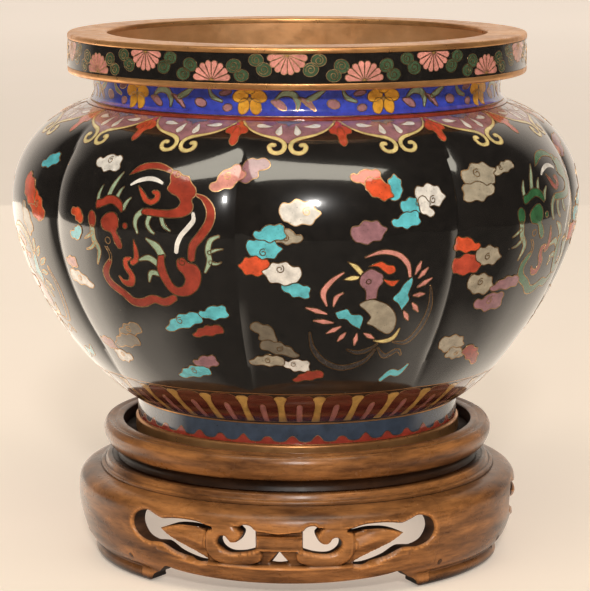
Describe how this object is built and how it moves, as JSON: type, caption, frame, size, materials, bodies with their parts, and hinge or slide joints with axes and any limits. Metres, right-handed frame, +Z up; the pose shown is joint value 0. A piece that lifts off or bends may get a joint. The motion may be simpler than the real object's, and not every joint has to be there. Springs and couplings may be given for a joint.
{
  "type": "cloisonne jardiniere on a wooden stand",
  "caption": "Wide-mouthed lobed cloisonne vase with a flat copper-bound rim, resting in the recessed seat of a round carved and pierced wooden stand with three feet.",
  "frame": {"origin": "on the ground at the middle of the stand's three feet, under the vase's axis", "axes": "+Z up along the vase's axis; -Y faces the viewer, with the middle of one apron 4.6 degrees to the left of it"},
  "size_m": [0.2154, 0.2154, 0.1996],
  "materials": {
    "copper": "worn gilt copper, softly polished",
    "wire": "flush polished cloison wire",
    "black_enamel": "polished glass enamel",
    "maroon_enamel": "polished glass enamel",
    "red_enamel": "polished glass enamel",
    "cobalt_enamel": "polished glass enamel",
    "slate_enamel": "polished glass enamel",
    "counter_enamel": "fired enamel, orange peel",
    "orange_enamel": "polished glass enamel",
    "turquoise_enamel": "polished glass enamel",
    "white_enamel": "polished glass enamel",
    "mauve_enamel": "polished glass enamel",
    "grey_enamel": "polished glass enamel",
    "celadon_enamel": "polished glass enamel",
    "green_enamel": "polished glass enamel",
    "yellow_enamel": "polished glass enamel",
    "pink_enamel": "polished glass enamel",
    "wood": "carved hardwood, rubbed wax polish",
    "dark_wood": "carved hardwood with dark polish"
  },
  "bodies": {
    "stand": {"stand_top_ring": "wood", "seat_board": "wood", "waist_ring": "dark_wood", "shoulder_ring": "wood", "apron_1": "wood", "apron_2": "wood", "apron_3": "wood", "leg_1": "wood", "leg_2": "wood", "leg_3": "wood", "leg_peg_1": "dark_wood", "leg_peg_2": "dark_wood", "leg_peg_3": "dark_wood", "leg_peg_4": "dark_wood", "leg_peg_5": "dark_wood", "leg_peg_6": "dark_wood"},
    "vase": {"copper_body": "copper", "base_plate": "copper", "belly_enamel": "black_enamel", "petal_border_enamel": "maroon_enamel", "petal_border_wire": "wire", "inside_counter_enamel": "counter_enamel", "shoulder_border_enamel": "red_enamel", "neck_base_wire": "wire", "neck_enamel": "cobalt_enamel", "rim_collar": "copper", "rim_enamel": "black_enamel", "foot_ring": "copper", "foot_enamel": "slate_enamel", "foot_wire": "wire", "underside_counter_enamel": "counter_enamel"}
  },
  "joints": [
    {"name": "vase_lift", "type": "slide", "parent": "stand", "child": "vase", "axis": [0, 0, 1], "range_m": [0, 0.06]}
  ]
}
